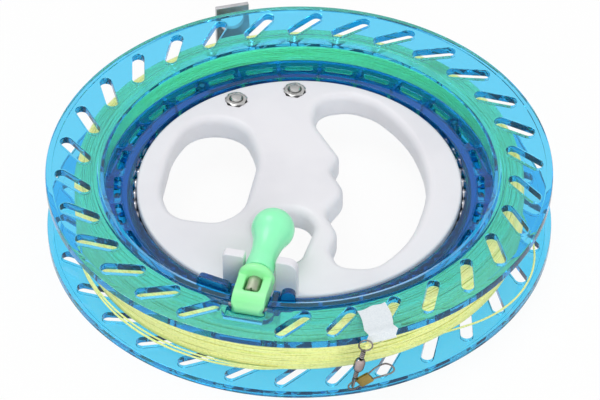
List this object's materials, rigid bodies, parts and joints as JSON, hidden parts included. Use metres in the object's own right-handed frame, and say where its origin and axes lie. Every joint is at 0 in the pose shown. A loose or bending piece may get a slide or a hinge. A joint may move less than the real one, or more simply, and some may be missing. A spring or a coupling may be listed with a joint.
{
  "type": "kite line winder",
  "caption": "Flat round kite line winder: a white hand grip plate in a clear blue ball-bearing wheel full of yellow line, with a folding crank, a bent line guide and a snap swivel.",
  "frame": {"origin": "on the spin axis, in the underside of the white grip plate", "axes": "+Z along the spin axis, out of the side that carries the crank and the nuts; the folded crank lies near -Y and the line guide near +Y"},
  "size_m": [0.2, 0.219, 0.0462],
  "materials": {
    "white_plastic": "satin",
    "clear_blue": "clear tinted",
    "clear_lime": "clear tinted",
    "clear_mint": "clear tinted",
    "yellow_line": "twisted thread",
    "white_paper": "plain paper",
    "aluminium_strip": "satin",
    "zinc_steel": "plated",
    "bright_steel": "polished",
    "brass_barrel": "polished"
  },
  "bodies": {
    "grip": {"hub_plate": "white_plastic", "guide_bracket": "aluminium_strip", "guide_bolts": "zinc_steel", "guide_nuts": "zinc_steel"},
    "ball_train": {"bearing_balls": "bright_steel"},
    "wheel": {"upper_shell": "clear_blue", "lower_shell": "clear_blue", "shell_screws": "zinc_steel", "hinge_pin": "bright_steel", "line_winding": "yellow_line", "line_strand": "yellow_line", "line_tail": "yellow_line", "tape_tab": "white_paper"},
    "crank": {"crank_base": "clear_lime"},
    "knob": {"crank_knob": "clear_mint", "knob_screw": "zinc_steel"},
    "swivel_top": {"swivel_eye_upper": "bright_steel"},
    "swivel_middle": {"swivel_barrel": "brass_barrel"},
    "swivel_bottom": {"swivel_eye_lower": "bright_steel"},
    "snap": {"snap_plate": "brass_barrel", "snap_wire": "bright_steel"}
  },
  "joints": [
    {"name": "wheel_spin", "type": "hinge", "parent": "grip", "child": "wheel", "pos_m": [0, 0, 0.0058], "axis": [0, 0, 1], "continuous": true},
    {"name": "ball_roll", "type": "hinge", "parent": "grip", "child": "ball_train", "pos_m": [0, 0, 0.0058], "axis": [0, 0, 1], "continuous": true},
    {"name": "crank_fold", "type": "hinge", "parent": "wheel", "child": "crank", "pos_m": [-0.01972, -0.07908, 0.019], "axis": [0.9703, -0.2419, 0], "range_deg": [0, 85]},
    {"name": "knob_turn", "type": "hinge", "parent": "crank", "child": "knob", "pos_m": [-0.0156, -0.06258, 0.0231], "axis": [0.241, 0.9666, 0.0872], "continuous": true},
    {"name": "swivel_swing", "type": "hinge", "parent": "wheel", "child": "swivel_top", "pos_m": [0.02552, -0.0999, 0.01991], "axis": [-0.9696, -0.2446, 0], "range_deg": [0, 12]},
    {"name": "barrel_turn", "type": "hinge", "parent": "swivel_top", "child": "swivel_middle", "pos_m": [0.0252, -0.0999, 0.0186], "axis": [-0.2351, 0, -0.972], "continuous": true},
    {"name": "lower_eye_turn", "type": "hinge", "parent": "swivel_top", "child": "swivel_bottom", "pos_m": [0.0252, -0.0999, 0.0186], "axis": [-0.2351, 0, -0.972], "range_deg": [-20, 20]},
    {"name": "snap_swing", "type": "hinge", "parent": "swivel_bottom", "child": "snap", "pos_m": [0.02051, -0.0999, -0.00079], "axis": [0, 1, 0], "range_deg": [-3, 25]}
  ],
  "couplings": [
    {"joint": "ball_roll", "follows": "wheel_spin", "ratio": 0.5}
  ]
}
